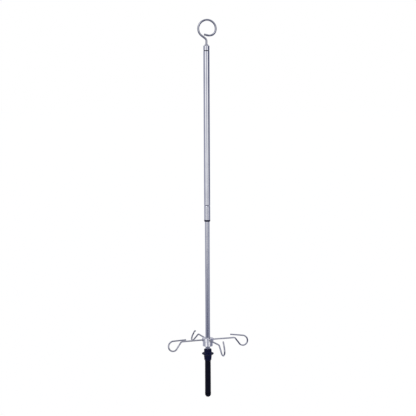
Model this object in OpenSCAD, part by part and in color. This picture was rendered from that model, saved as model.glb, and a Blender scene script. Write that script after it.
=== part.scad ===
// Ceiling-hung telescopic IV hanger.
// Frame: the origin is the highest point inside the eye, where a trolley hook
// carries the hanger. +Z is up along the tubes, and the eye lies in the XZ plane.
// Levels in the lower, sliding part are measured from the hook arms' centreline.

/* [Hanging eye] */
// Diameter of the eye's wire
eye_wire_d = 6; // [5:0.5:6.5]
// Bend radius of the eye, on the wire's centreline
eye_r = 25; // [20:0.5:30]
// Side lean of the wire between shank and eye, in degrees
eye_lean = 52.5; // [48:0.5:56]
// Straight wire between the two bends
eye_run = 12; // [10:0.5:14]
// Straight wire that shows above the cap
eye_neck = 8.2; // [4:0.2:20]

/* [Top cap] */
// Height of the cap's cone
cap_cone_h = 5.7; // [4:0.1:12]
// Height of the cap's straight part
cap_straight_h = 12.6; // [8:0.2:20]

/* [Outer tube] */
// Outside diameter of the outer tube
outer_d = 18; // [18:0.25:19]
// Wall of the outer tube
outer_wall = 1; // [0.9:0.05:1.1]
// Length of the outer tube
outer_len = 445.8; // [440:0.2:700]
// Height of the end ferrule that shows
ferrule_h = 41; // [30:1:60]
// Height of the guide bush's lip
lip_h = 5; // [3:0.5:8]

/* [Inner tube] */
// Outside diameter of the inner tube
inner_d = 14; // [13.5:0.25:14]
// Wall of the inner tube
inner_wall = 1; // [0.8:0.1:1.2]
// Length of inner tube that shows between lip and hub, at rest
shown = 343.5; // [15:0.5:343.5]

/* [Hub] */
// Diameter of the hub's flange
hub_flange_d = 34; // [32:0.5:40]
// Diameter of the hub's body
hub_body_d = 29.5; // [26:0.5:30]
// Thickness of the flange that holds the hook wires
hub_flange_h = 9; // [8:0.5:12]
// Height of the body under the flange
hub_body_h = 14.5; // [12:0.5:16]

/* [Hooks] */
// Diameter of the hook wire
hook_wire_d = 4.5; // [3.5:0.5:5]
// Compass angle of the right, back, left and front hook, in degrees: bent by hand, so they differ a little
hook_azimuth = [18, 108, 201, 291];
// Roll of each hook about its own arm, in degrees
hook_roll = [6, 25, 9, 2];
// Distance from the tube's axis to each elbow
hook_reach = [80.5, 82, 79, 82.5];
// Compass angle of the first set screw, in degrees
screw_turn = 66.5; // [50:0.5:80]
// Bend radius of the elbow
elbow_r = 8; // [6:0.5:12]
// How far the elbow turns the wire down, in degrees
elbow_angle = 52; // [45:1:60]
// Straight wire between elbow and bowl
hook_drop = 22; // [18:1:30]
// Bend radius of the hook's bowl
bowl_r = 13.7; // [12:0.1:18]
// Turn of the bowl, in degrees
bowl_angle = 151; // [140:1:155]
// Bend radius of the hook's top corner
corner_r = 15.5; // [12:0.5:18]
// Turn of the top corner, in degrees
corner_angle = 79; // [65:1:85]
// Sideways cant that carries the tip past the arm, in degrees
hook_cant = 20; // [12:1:25]
// Straight wire at the tip
hook_tip = 36.4; // [25:0.2:42]

/* [Release collar] */
// Diameter of the collar's finger flange
collar_flange_d = 34.6; // [28:0.2:40]
// Height of the collar
collar_h = 33.5; // [32:0.5:36]
// Travel that frees the brake
release_travel = 5; // [4:0.5:5]

/* [Grip] */
// Outside diameter of the grip at its mouth
grip_top_d = 17; // [16.5:0.1:17.5]
// Outside diameter of the grip near its domed end
grip_end_d = 17.6; // [17:0.1:20]
// Length of the grip from its mouth inside the collar to the end of its dome
grip_len = 110.8; // [96:0.1:135]

/* [Hidden] */
$fn = 64;
press = 0.02; // radial gap of a pressed or glued joint
run = 0.05;   // radial gap of a running fit

// upper part, absolute levels
eye_wire_r = eye_wire_d / 2;
bend1_r = 10;
eye_main_turn = 242;
eye_low_r = 18;
eye_low_turn = 94;
eye_end_run = 11;
z_bend = -(bend1_r * sin(eye_lean) + eye_run * cos(eye_lean) + eye_r * sin(eye_lean) + eye_r - eye_wire_r);
z_cone_top = z_bend - eye_neck;
z_shoulder = z_cone_top - cap_cone_h;
z_cap_bottom = z_shoulder - cap_straight_h;
washer_h = 2;
play = 0.1; // axial play of the swivel, above and below
z_tube_top = z_cap_bottom - play - washer_h;
plug_h = 17;
z_plug_bottom = z_tube_top - plug_h;
nut_washer_h = 1.6;
nut_h = 6;
z_nut_top = z_plug_bottom - play - nut_washer_h;
z_shank_bottom = z_nut_top - nut_h - 2.5;

outer_r = outer_d / 2;
outer_ri = outer_r - outer_wall;
z_tube_bottom = z_tube_top - outer_len;
z_ferrule_bottom = z_tube_bottom - ferrule_h;
z_lip_bottom = z_ferrule_bottom - lip_h;
spigot_h = 19.5;
bush_h = 30;

// lower part, levels relative to the arms' centreline
z_arm = z_lip_bottom - shown - hub_flange_h / 2;
inner_r = inner_d / 2;
inner_ri = inner_r - inner_wall;
hub_bottom = -hub_flange_h / 2 - hub_body_h;
collar_top = hub_bottom - 8.5;
collar_bottom = collar_top - collar_h;
collar_pin_z = collar_top - 24.5;
foot_top = collar_pin_z + 10;
foot_bottom = collar_pin_z - 4;
// the grip's mouth reaches into a counterbore in the collar, so no tube shows between them
grip_mouth = collar_bottom + 0.5;
grip_bottom = grip_mouth - grip_len;
collar_bore_r = grip_top_d / 2 + 0.25;
collar_bore_top = collar_bottom + release_travel + 1.1;
inner_bottom = grip_bottom + 6;
seat_top = foot_bottom - 36;
seat_h = 8;
spring_d = 9.6;
spring_wire = 1.2;
spring_turns = 7;
inner_top = 446;
glide_h = 15.5;
cone_neck_r = 4;
cone_z = inner_top + 18;
cone_h = 14;
cone_r = 6.6;
rod_r = 2;
pin3_r = 1.5;
sleeve_pin_z = inner_top + 15;
sleeve_bottom = inner_top + 12;
sleeve_top = cone_z + 13;

function arc(cx, cz, r, a0, a1, n) = [for (i = [0 : n]) [cx + r * cos(a0 + (a1 - a0) * i / n), cz + r * sin(a0 + (a1 - a0) * i / n)]];

// One wire of diameter d along +Z, fed, rolled and bent row by row.
// A row is [feed, roll, bend radius, bend angle], and each bend turns towards local +X.
// Each straight runs a little way into the bends beside it, and a bend is a hair thinner,
// so that the pieces join through clean faces. Every feed is therefore over zero.
module bent_wire(d, rows, i = 0) {
    e = 0.1;
    if (i < len(rows)) {
        feed = rows[i][0];
        roll = rows[i][1];
        r = rows[i][2];
        a = rows[i][3];
        translate([0, 0, i == 0 ? 0 : -e]) cylinder(d = d, h = feed + (i == 0 ? 0 : e) + (a > 0 ? e : 0));
        translate([0, 0, feed]) rotate([0, 0, roll]) {
            if (a > 0) translate([r, 0, 0]) rotate([0, 0, 180]) rotate([90, 0, 0])
                rotate_extrude(angle = a) translate([r, 0]) circle(d = d - 0.02);
            translate([r, 0, 0]) rotate([0, a, 0]) translate([-r, 0, 0]) bent_wire(d, rows, i + 1);
        }
    }
    if (i == len(rows)) cylinder(d1 = d, d2 = d - 1.4, h = 0.7);
}

module tube(r1, r0, z0, z1) {
    translate([0, 0, z0]) difference() {
        cylinder(r = r1, h = z1 - z0);
        translate([0, 0, -1]) cylinder(r = r0, h = z1 - z0 + 2);
    }
}

module turned(pts) { rotate_extrude() polygon(pts); }

module cross_hole(r, z, h = 60) { translate([0, 0, z]) rotate([0, 90, 0]) cylinder(r = r, h = h, center = true); }

// Slot along Z through both walls, across X
module cross_slot(r, z0, z1) {
    cross_hole(r, z0);
    cross_hole(r, z1);
    translate([-30, -r, z0]) cube([60, 2 * r, z1 - z0]);
}

module pin_pair(r, r0, r1, z) {
    for (a = [0, 180]) rotate([0, 0, a]) translate([r0, 0, z]) rotate([0, 90, 0]) cylinder(r = r, h = r1 - r0);
}

// ---- hanger body: eye, cap and what holds them in the tube ----

module hanging_loop() {
    color("silver") translate([0, 0, z_shank_bottom]) {
        cylinder(d1 = eye_wire_d - 1.4, d2 = eye_wire_d, h = 0.7);
        translate([0, 0, 0.7]) rotate([0, 0, 180])
            bent_wire(eye_wire_d, [
                [z_bend - z_shank_bottom - 0.7, 0, bend1_r, eye_lean],
                [eye_run, 180, eye_r, eye_main_turn],
                [0.4, 0, eye_low_r, eye_low_turn],
                [eye_end_run, 0, 0, 0]]);
    }
}

module top_cap() {
    color("gainsboro") turned([
        [eye_wire_r + press, z_cap_bottom], [outer_r - 0.4, z_cap_bottom], [outer_r, z_cap_bottom + 0.4],
        [outer_r, z_shoulder - 0.4], [outer_r - 0.3, z_shoulder + 0.15],
        [eye_wire_r + 0.45, z_cone_top - 0.1], [eye_wire_r + press, z_cone_top]]);
}

module shank_washer() {
    color("silver") tube(6.2, eye_wire_r + 0.15, z_nut_top, z_nut_top + nut_washer_h);
}

module shank_nut() {
    color("silver") translate([0, 0, z_nut_top - nut_h]) difference() {
        cylinder(d = 11.5, h = nut_h, $fn = 6);
        translate([0, 0, -1]) cylinder(r = eye_wire_r + press, h = nut_h + 2);
    }
}

// ---- outer body ----

module swivel_washer() {
    color("black") tube(outer_r - 0.8, eye_wire_r + 0.15, z_tube_top, z_tube_top + washer_h);
}

module outer_tube() {
    color("gainsboro") difference() {
        turned([
            [outer_ri, z_tube_bottom], [outer_r - 0.35, z_tube_bottom], [outer_r, z_tube_bottom + 0.35],
            [outer_r, z_tube_bottom + 3.4], [outer_r - 0.35, z_tube_bottom + 3.9], [outer_r - 0.35, z_tube_bottom + 6.1],
            [outer_r, z_tube_bottom + 6.6], [outer_r, z_tube_top - 0.35], [outer_r - 0.35, z_tube_top],
            [outer_ri, z_tube_top]]);
        cross_hole(pin3_r + 0.01, z_tube_top - 8);
    }
}

module top_plug() {
    color("silver") difference() {
        tube(outer_ri - press, eye_wire_r + run, z_plug_bottom, z_tube_top);
        cross_hole(pin3_r + 0.01, z_tube_top - 8);
    }
}

module plug_pins() { color("silver") pin_pair(pin3_r, 3.8, outer_r - 0.1, z_tube_top - 8); }

module end_ferrule() {
    color("gainsboro") turned([
        [outer_ri, z_ferrule_bottom], [outer_r - 0.6, z_ferrule_bottom], [outer_r, z_ferrule_bottom + 1],
        [outer_r, z_tube_bottom - 1], [outer_r - 0.7, z_tube_bottom], [outer_ri - press, z_tube_bottom],
        [outer_ri - press, z_tube_bottom + spigot_h - 0.5], [outer_ri - 0.5, z_tube_bottom + spigot_h],
        [inner_r + 0.3, z_tube_bottom + spigot_h], [inner_r + 0.3, z_ferrule_bottom + bush_h], [outer_ri, z_ferrule_bottom + bush_h]]);
}

module guide_bush() {
    color([0.08, 0.08, 0.1]) turned([
        [inner_r + 0.3, z_lip_bottom], [inner_r + 0.9, z_lip_bottom], [outer_r - 0.5, z_lip_bottom + 1.8],
        [outer_r, z_lip_bottom + 2.6], [outer_r, z_ferrule_bottom], [outer_ri - press, z_ferrule_bottom],
        [outer_ri - press, z_ferrule_bottom + bush_h], [inner_r + run, z_ferrule_bottom + bush_h],
        [inner_r + run, z_lip_bottom + 0.6]]);
}

// ---- sliding body ----

module slide() { translate([0, 0, z_arm]) children(); }

module inner_tube() {
    color("silver") slide() difference() {
        tube(inner_r, inner_ri, inner_bottom, inner_top);
        cross_slot(pin3_r + 0.15, collar_pin_z - release_travel - 0.1, collar_pin_z + 0.1);
        cross_hole(pin3_r + 0.01, seat_top - seat_h / 2);
        cross_hole(1.26, inner_top - 8);
    }
}

module glide_ring() {
    color("ivory") slide() difference() {
        tube(outer_ri - run, inner_r + press, inner_top - glide_h, inner_top);
        cross_hole(1.26, inner_top - 8);
    }
}

module brake_cone() {
    color("silver") slide() difference() {
        turned([
            [rod_r + 0.1, inner_top - 18], [inner_ri - press, inner_top - 18], [inner_ri - press, inner_top],
            [outer_ri - 0.15, inner_top], [outer_ri - 0.15, inner_top + 2], [cone_neck_r, inner_top + 2],
            [cone_neck_r, cone_z], [cone_r, cone_z + cone_h], [rod_r + 0.1, cone_z + cone_h]]);
        cross_hole(1.26, inner_top - 8);
        cross_slot(1.1, sleeve_pin_z - release_travel - 0.1, sleeve_pin_z + 0.1);
    }
}

module cone_pins() { color("silver") slide() pin_pair(1.25, 2.7, outer_ri - 0.2, inner_top - 8); }

module spring_seat() {
    color("silver") slide() difference() {
        translate([0, 0, seat_top - seat_h]) cylinder(r = inner_ri - press, h = seat_h);
        cross_hole(pin3_r + 0.01, seat_top - seat_h / 2);
    }
}

module seat_pin() {
    color("silver") slide() translate([0, 0, seat_top - seat_h / 2]) rotate([0, 90, 0])
        cylinder(r = pin3_r, h = 2 * inner_r - 0.3, center = true);
}

module hook_hub() {
    fr = hub_flange_d / 2;
    br = hub_body_d / 2;
    hf = hub_flange_h / 2;
    color("gainsboro") slide() difference() {
        turned([
            [inner_r + press, hub_bottom], [br - 1, hub_bottom], [br, hub_bottom + 1], [br, -hf],
            [fr - 0.7, -hf], [fr, -hf + 0.7], [fr, hf - 0.9], [fr - 0.9, hf], [inner_r + press, hf]]);
        for (k = [0 : 3]) rotate([0, 0, hook_azimuth[k]]) translate([8.8, 0, 0]) rotate([0, 90, 0])
            cylinder(d = hook_wire_d + 2 * press, h = fr);
        for (k = [0, 1]) rotate([0, 0, screw_turn + 90 * k]) translate([0, 0, -hf - hub_body_h / 2]) rotate([0, 90, 0])
            cylinder(r = 2.5, h = br + 5);
    }
}

module hub_screws() {
    br = hub_body_d / 2;
    color("dimgray") slide() for (k = [0, 1]) rotate([0, 0, screw_turn + 90 * k])
        translate([inner_r + 0.05, 0, -hub_flange_h / 2 - hub_body_h / 2]) rotate([0, 90, 0]) difference() {
            cylinder(r = 2.48, h = br - inner_r - 0.6);
            translate([0, 0, br - inner_r - 3.2]) cylinder(d = 2.9, h = 5, $fn = 6);
        }
}

module hook(k) {
    color("silver") slide() rotate([0, 0, hook_azimuth[k]]) translate([9, 0, 0]) rotate([0, 90, 0])
        bent_wire(hook_wire_d, [
            [hook_reach[k] - 9, hook_roll[k], elbow_r, elbow_angle],
            [hook_drop, 180, bowl_r, bowl_angle],
            [0.4, -hook_cant, corner_r, corner_angle],
            [hook_tip, 0, 0, 0]]);
}

module hook_right() { hook(0); }
module hook_back() { hook(1); }
module hook_left() { hook(2); }
module hook_front() { hook(3); }

module grip() {
    gr = grip_end_d / 2;
    color([0.05, 0.05, 0.07]) slide() turned(concat(
        [[0, inner_bottom - 0.4], [inner_r + press, inner_bottom - 0.4], [inner_r + press, grip_mouth],
            [grip_top_d / 2 - 0.6, grip_mouth], [grip_top_d / 2, grip_mouth - 0.8],
            [gr - 0.1, grip_bottom + gr + 12]],
        arc(0, grip_bottom + gr, gr, 0, -90, 14)));
}

// ---- release body ----

module brake_sleeve() {
    k = (cone_r - cone_neck_r) / cone_h;
    color("ivory") slide() difference() {
        turned([
            [cone_neck_r + 0.1, sleeve_bottom], [outer_ri - 0.6, sleeve_bottom], [outer_ri - run, sleeve_bottom + 0.6],
            [outer_ri - run, sleeve_top - 0.5], [outer_ri - 0.5, sleeve_top],
            [cone_neck_r + 0.3 + k * (sleeve_top - cone_z), sleeve_top], [cone_neck_r + 0.3, cone_z], [cone_neck_r + 0.1, cone_z]]);
        cross_hole(1.02, sleeve_pin_z);
        for (a = [45, 135]) rotate([0, 0, a]) translate([-20, -0.5, cone_z + 1.5]) cube([40, 1, 30]);
    }
}

module sleeve_pin() {
    color("silver") slide() translate([0, 0, sleeve_pin_z]) rotate([0, 90, 0]) cylinder(r = 1, h = 2 * outer_ri - 0.8, center = true);
}

module release_rod() {
    color("silver") slide() difference() {
        translate([0, 0, foot_top - 6]) cylinder(r = rod_r, h = sleeve_pin_z + 2.5 - foot_top + 6);
        cross_hole(1.02, sleeve_pin_z);
    }
}

module rod_foot() {
    color("silver") slide() difference() {
        translate([0, 0, foot_bottom]) cylinder(r = inner_ri - run, h = foot_top - foot_bottom);
        translate([0, 0, foot_top - 6.1]) cylinder(r = rod_r + press, h = 10);
        cross_hole(pin3_r + 0.01, collar_pin_z);
    }
}

module collar_pin() {
    color("silver") slide() translate([0, 0, collar_pin_z]) rotate([0, 90, 0]) cylinder(r = pin3_r, h = 20, center = true);
}

module release_collar() {
    fz = collar_top - 14;
    fr = collar_flange_d / 2;
    color([0.06, 0.06, 0.09]) slide() difference() {
        turned(concat(
            [[collar_bore_r, collar_bottom], [9.7, collar_bottom], [10.3, collar_bottom + 0.8],
                [11.7, fz - 5.2]],
            [[12.4, fz - 4]],
            arc(fr - 2.3, fz, 2.3, -68, 68, 8),
            [[12.2, fz + 4]],
            [[11.25, fz + 5.2], [11.2, collar_top - 2.6], [10.4, collar_top - 0.5], [9.8, collar_top],
                [inner_r + 1.5, collar_top], [inner_r + run, collar_top - 3],
                [inner_r + run, collar_bore_top], [collar_bore_r, collar_bore_top]]));
        cross_hole(pin3_r + 0.01, collar_pin_z);
    }
}

module return_spring() {
    n = 14;   // rings in one turn
    m = 8;    // sides of the wire
    zc0 = seat_top + spring_wire / 2;
    zc1 = foot_bottom - spring_wire / 2;
    rc = (spring_d - spring_wire) / 2;
    steps = n * spring_turns;
    // the first and last turns lie flat, and the ones between climb evenly
    function climb(t) = t < 1 ? t * 0.105 : t > spring_turns - 1 ? 1 - (spring_turns - t) * 0.105 : 0.105 + (t - 1) * 0.79 / (spring_turns - 2);
    pts = [for (i = [0 : steps]) for (j = [0 : m - 1])
        let (t = i / n, a = 360 * t, b = 360 * j / m, rr = rc + spring_wire / 2 * cos(b))
        [rr * cos(a), rr * sin(a), zc0 + (zc1 - zc0) * climb(t) * 1.0 + spring_wire / 2 * sin(b)]];
    faces = concat(
        [[for (j = [0 : m - 1]) j]],
        [for (i = [0 : steps - 1]) for (j = [0 : m - 1]) [i * m + j, (i + 1) * m + j, (i + 1) * m + (j + 1) % m]],
        [for (i = [0 : steps - 1]) for (j = [0 : m - 1]) [i * m + j, (i + 1) * m + (j + 1) % m, i * m + (j + 1) % m]],
        [[for (j = [m - 1 : -1 : 0]) steps * m + j]]);
    color("gray") slide() polyhedron(pts, faces);
}

hanging_loop();
top_cap();
shank_washer();
shank_nut();
swivel_washer();
outer_tube();
top_plug();
plug_pins();
end_ferrule();
guide_bush();
inner_tube();
glide_ring();
brake_cone();
cone_pins();
spring_seat();
seat_pin();
hook_hub();
hub_screws();
hook_right();
hook_back();
hook_left();
hook_front();
grip();
brake_sleeve();
sleeve_pin();
release_rod();
rod_foot();
collar_pin();
release_collar();
return_spring();
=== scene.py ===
import bpy, bmesh, math
import numpy as np
from mathutils import Vector, Matrix


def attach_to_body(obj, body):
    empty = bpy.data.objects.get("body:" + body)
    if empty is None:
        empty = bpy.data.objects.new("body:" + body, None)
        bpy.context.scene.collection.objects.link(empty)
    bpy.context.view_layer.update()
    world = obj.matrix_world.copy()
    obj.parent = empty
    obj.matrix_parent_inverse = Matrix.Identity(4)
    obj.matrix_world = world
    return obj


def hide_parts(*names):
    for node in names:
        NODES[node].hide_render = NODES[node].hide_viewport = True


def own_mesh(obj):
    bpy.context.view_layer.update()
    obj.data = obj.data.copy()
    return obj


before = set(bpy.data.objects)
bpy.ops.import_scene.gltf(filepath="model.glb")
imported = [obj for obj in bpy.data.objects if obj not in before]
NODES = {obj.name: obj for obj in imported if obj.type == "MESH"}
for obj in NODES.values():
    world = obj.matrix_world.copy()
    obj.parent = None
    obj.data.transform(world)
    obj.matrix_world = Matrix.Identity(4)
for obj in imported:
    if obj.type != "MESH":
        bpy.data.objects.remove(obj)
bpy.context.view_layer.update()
scene = bpy.context.scene
MM = 0.001
PI = math.pi


def sind(a):
    return math.sin(math.radians(a))


def cosd(a):
    return math.cos(math.radians(a))


# ---------------------------------------------------------------- dimensions, mm
EYE_D, EYE_R, EYE_LEAN, EYE_RUN, EYE_NECK, EYE_END = 6.0, 25.0, 52.5, 12.0, 8.2, 11.0
Z_BEND = -(10 * sind(EYE_LEAN) + EYE_RUN * cosd(EYE_LEAN) + EYE_R * sind(EYE_LEAN) + EYE_R - EYE_D / 2)
Z_CONE = Z_BEND - EYE_NECK
Z_SHOULDER = Z_CONE - 5.7
Z_CAP_B = Z_SHOULDER - 12.6
Z_TUBE_T = Z_CAP_B - 2.1
Z_PLUG_B = Z_TUBE_T - 17
Z_NUT_T = Z_PLUG_B - 1.7
Z_SHANK_B = Z_NUT_T - 8.5
Z_TUBE_B = Z_TUBE_T - 445.8
Z_FER_B = Z_TUBE_B - 41
Z_LIP_B = Z_FER_B - 5
Z_ARM = Z_LIP_B - 343.5 - 4.5
HOOKS = (("right", 18, 6, 80.5), ("back", 108, 25, 82), ("left", 201, 9, 79), ("front", 291, 2, 82.5))  # name, compass angle, roll, reach
SCREW_TURN = 66.5
HUB_B = -19.0
COL_T = HUB_B - 8.5
COL_B = COL_T - 33.5
COL_F = COL_T - 14
PIN_Z = COL_T - 24.5
GRIP_T = COL_B - 5.3
GRIP_B = GRIP_T - 105
IN_B = GRIP_B + 6
GRIP_M = COL_B + 0.5
BORE_T = COL_B + 6.1
IN_T = 446.0

# ---------------------------------------------------------------- node helpers


def mat_new(name):
    m = bpy.data.materials.new(name)
    m.use_nodes = True
    nt = m.node_tree
    bsdf = nt.nodes["Principled BSDF"]
    return m, nt, bsdf


def nd(nt, kind, **props):
    n = nt.nodes.new(kind)
    for k, v in props.items():
        setattr(n, k, v)
    return n


def coords(nt, attr=None):
    """Object coordinates in metres, or a named vector attribute."""
    if attr:
        a = nd(nt, "ShaderNodeAttribute", attribute_name=attr)
        return a.outputs["Vector"]
    return nd(nt, "ShaderNodeTexCoord").outputs["Object"]


def scaled(nt, vec, sx, sy, sz, off=(0, 0, 0)):
    m = nd(nt, "ShaderNodeMapping")
    m.inputs["Scale"].default_value = (sx, sy, sz)
    m.inputs["Location"].default_value = off
    nt.links.new(vec, m.inputs["Vector"])
    return m.outputs["Vector"]


def noise(nt, vec, scale, detail=3.0, rough=0.5, distort=0.0):
    n = nd(nt, "ShaderNodeTexNoise")
    n.inputs["Scale"].default_value = scale
    n.inputs["Detail"].default_value = detail
    n.inputs["Roughness"].default_value = rough
    n.inputs["Distortion"].default_value = distort
    nt.links.new(vec, n.inputs["Vector"])
    return n.outputs["Fac"]


def remap(nt, val, a, b, c, d, smooth=False):
    m = nd(nt, "ShaderNodeMapRange")
    m.clamp = True
    if smooth:
        m.interpolation_type = "SMOOTHSTEP"
    m.inputs["From Min"].default_value = a
    m.inputs["From Max"].default_value = b
    m.inputs["To Min"].default_value = c
    m.inputs["To Max"].default_value = d
    nt.links.new(val, m.inputs["Value"])
    return m.outputs["Result"]


def math_n(nt, op, a, b=None, c=None, clamp=False):
    m = nd(nt, "ShaderNodeMath", operation=op)
    m.use_clamp = clamp
    for i, v in enumerate((a, b, c)):
        if v is None:
            continue
        if isinstance(v, (int, float)):
            m.inputs[i].default_value = v
        else:
            nt.links.new(v, m.inputs[i])
    return m.outputs[0]


def mix_col(nt, fac, a, b, mode="MIX"):
    m = nd(nt, "ShaderNodeMix", data_type="RGBA", blend_type=mode)
    if isinstance(fac, (int, float)):
        m.inputs[0].default_value = fac
    else:
        nt.links.new(fac, m.inputs[0])
    for sock, v in ((m.inputs[6], a), (m.inputs[7], b)):
        if isinstance(v, (tuple, list)):
            sock.default_value = (*v[:3], 1)
        else:
            nt.links.new(v, sock)
    return m.outputs[2]


def bump(nt, bsdf, height, strength, dist, prev=None):
    b = nd(nt, "ShaderNodeBump")
    b.inputs["Strength"].default_value = strength
    b.inputs["Distance"].default_value = dist
    nt.links.new(height, b.inputs["Height"])
    if prev is not None:
        nt.links.new(prev, b.inputs["Normal"])
    return b.outputs["Normal"]


def radius_of(nt, vec):
    sep = nd(nt, "ShaderNodeSeparateXYZ")
    nt.links.new(vec, sep.inputs[0])
    r2 = math_n(nt, "ADD", math_n(nt, "MULTIPLY", sep.outputs[0], sep.outputs[0]), math_n(nt, "MULTIPLY", sep.outputs[1], sep.outputs[1]))
    return math_n(nt, "SQRT", r2), sep.outputs[2]


# ---------------------------------------------------------------- materials


def metal(name, base, dark, rough=(0.14, 0.26), attr=None, grain="long", seed=0.0, bump_s=0.25, spots=0.0, aniso=0.0):
    """Steel or plating: base colour with slow tone drift, grain along or around, smudges in the roughness, fine scratches."""
    m, nt, b = mat_new(name)
    vec = coords(nt, attr)
    if grain == "long":
        g = noise(nt, scaled(nt, vec, 2600, 2600, 22, (seed, 0, 0)), 1.0, 4, 0.6)
    elif grain == "turned":
        r, z = radius_of(nt, vec)
        comb = nd(nt, "ShaderNodeCombineXYZ")
        nt.links.new(math_n(nt, "MULTIPLY", r, 5200.0), comb.inputs[0])
        nt.links.new(math_n(nt, "MULTIPLY", z, 5200.0), comb.inputs[2])
        comb.inputs[1].default_value = seed
        g = noise(nt, comb.outputs[0], 1.0, 3, 0.55)
    else:
        g = noise(nt, vec, 5200, 3, 0.6)
    smudge = noise(nt, scaled(nt, vec, 1, 1, 0.55, (seed * 0.37, 1.3, 0.2)), 62, 4, 0.62, 0.4)
    fine = noise(nt, vec, 900, 3, 0.6)
    scr = nd(nt, "ShaderNodeTexWave", wave_type="BANDS", bands_direction="DIAGONAL")
    scr.inputs["Scale"].default_value = 95
    scr.inputs["Distortion"].default_value = 42
    scr.inputs["Detail"].default_value = 3
    scr.inputs["Detail Scale"].default_value = 2.2
    nt.links.new(vec, scr.inputs["Vector"])
    scratch = remap(nt, scr.outputs["Fac"], 0.965, 1.0, 0.0, 1.0)
    rr = remap(nt, smudge, 0.32, 0.70, rough[0], rough[1], True)
    rr = math_n(nt, "ADD", rr, math_n(nt, "MULTIPLY", math_n(nt, "SUBTRACT", g, 0.5), 0.06))
    rr = math_n(nt, "ADD", rr, math_n(nt, "MULTIPLY", scratch, 0.10), clamp=True)
    nt.links.new(rr, b.inputs["Roughness"])
    tone = remap(nt, smudge, 0.3, 0.72, 0.0, 1.0, True)
    col = mix_col(nt, tone, base, tuple(0.82 * x + 0.18 * y for x, y in zip(base, dark)))
    col = mix_col(nt, math_n(nt, "MULTIPLY", remap(nt, g, 0.35, 0.62, 1.0, 0.0), 0.22), col, dark)
    if spots:
        sp = remap(nt, fine, 0.66, 0.80, 0.0, spots)
        col = mix_col(nt, sp, col, dark)
    nt.links.new(col, b.inputs["Base Color"])
    b.inputs["Metallic"].default_value = 1.0
    if aniso:
        b.inputs["Anisotropic"].default_value = aniso
    n1 = bump(nt, b, g, bump_s, 0.000012)
    n2 = bump(nt, b, scratch, 0.18, 0.00001, n1)
    n3 = bump(nt, b, smudge, 0.10, 0.00004, n2)
    nt.links.new(n3, b.inputs["Normal"])
    return m


def plastic(name, base, light, rough=(0.36, 0.52), spec=0.4, grain_scale=1400, bump_s=0.35, bump_d=0.00004, wear=0.25, coat=0.0, line_scale=0.0, seed=0.0):
    """Moulded or turned plastic: spark-eroded grain, slow tone drift, scuffs that are lighter and duller."""
    m, nt, b = mat_new(name)
    vec = coords(nt)
    cloud = noise(nt, scaled(nt, vec, 1, 1, 1, (seed, 0.4, 0)), 70, 4, 0.6, 0.3)
    grain = noise(nt, vec, grain_scale, 4, 0.65)
    vor = nd(nt, "ShaderNodeTexVoronoi", feature="SMOOTH_F1")
    vor.inputs["Scale"].default_value = grain_scale * 0.55
    nt.links.new(vec, vor.inputs["Vector"])
    scuff_v = noise(nt, scaled(nt, vec, 1, 1, 2.8, (0, seed, 3.1)), 260, 5, 0.7, 1.2)
    scuff = remap(nt, scuff_v, 0.60, 0.74, 0.0, 1.0, True)
    col = mix_col(nt, remap(nt, cloud, 0.3, 0.7, 0.0, 1.0, True), base, tuple(0.7 * x + 0.3 * y for x, y in zip(base, light)))
    col = mix_col(nt, math_n(nt, "MULTIPLY", scuff, wear), col, light)
    col = mix_col(nt, math_n(nt, "MULTIPLY", remap(nt, grain, 0.5, 0.75, 0, 1), 0.15), col, light)
    nt.links.new(col, b.inputs["Base Color"])
    rr = remap(nt, cloud, 0.3, 0.7, rough[0], rough[1], True)
    rr = math_n(nt, "ADD", rr, math_n(nt, "MULTIPLY", scuff, 0.14), clamp=True)
    nt.links.new(rr, b.inputs["Roughness"])
    b.inputs["Specular IOR Level"].default_value = spec
    if coat:
        b.inputs["Coat Weight"].default_value = coat
        b.inputs["Coat Roughness"].default_value = 0.25
    h = math_n(nt, "ADD", math_n(nt, "MULTIPLY", grain, 0.6), math_n(nt, "MULTIPLY", vor.outputs["Distance"], 0.5))
    n1 = bump(nt, b, h, bump_s, bump_d)
    if line_scale:
        r, z = radius_of(nt, vec)
        comb = nd(nt, "ShaderNodeCombineXYZ")
        nt.links.new(math_n(nt, "MULTIPLY", r, line_scale), comb.inputs[0])
        nt.links.new(math_n(nt, "MULTIPLY", z, line_scale), comb.inputs[2])
        lines = noise(nt, comb.outputs[0], 1.0, 2, 0.5)
        n1 = bump(nt, b, lines, 0.3, 0.00003, n1)
    n2 = bump(nt, b, scuff_v, 0.25, 0.00006, n1)
    nt.links.new(n2, b.inputs["Normal"])
    return m


STEEL = (0.775, 0.78, 0.80)
STEEL_D = (0.40, 0.41, 0.48)
M = {}
M["eye_wire"] = metal("eye_wire", (0.52, 0.525, 0.56), (0.24, 0.25, 0.31), (0.09, 0.18), attr="rest", seed=1.7, spots=0.25)
# Each hook wire's steel is scaled by its own factor. This is painted light and shade: brighter on the right hook,
# darker on the back one, lit and shaded copies of one steel.
for _n, _lit_shade_k in (("right", 1.22), ("left", 1.04), ("front", 1.02), ("back", 0.84)):
    M["hook_wire_" + _n] = metal("hook_wire_" + _n, (0.475 * _lit_shade_k, 0.48 * _lit_shade_k, 0.52 * _lit_shade_k), (0.21 * _lit_shade_k, 0.22 * _lit_shade_k, 0.27 * _lit_shade_k), (0.09, 0.17), attr="rest", seed=4.2 + _lit_shade_k, spots=0.25, bump_s=0.15)
M["cap_steel"] = metal("cap_steel", (0.74, 0.745, 0.77), (0.42, 0.43, 0.5), (0.08, 0.15), grain="turned", seed=2.0, bump_s=0.3)
M["tube_steel"] = metal("tube_steel", STEEL, STEEL_D, (0.055, 0.10), seed=0.0, bump_s=0.12)
M["ferrule_steel"] = metal("ferrule_steel", STEEL, STEEL_D, (0.08, 0.14), grain="turned", seed=8.0, bump_s=0.3)
M["inner_steel"] = metal("inner_steel", (0.74, 0.745, 0.765), STEEL_D, (0.08, 0.13), seed=3.0, bump_s=0.12)
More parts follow.
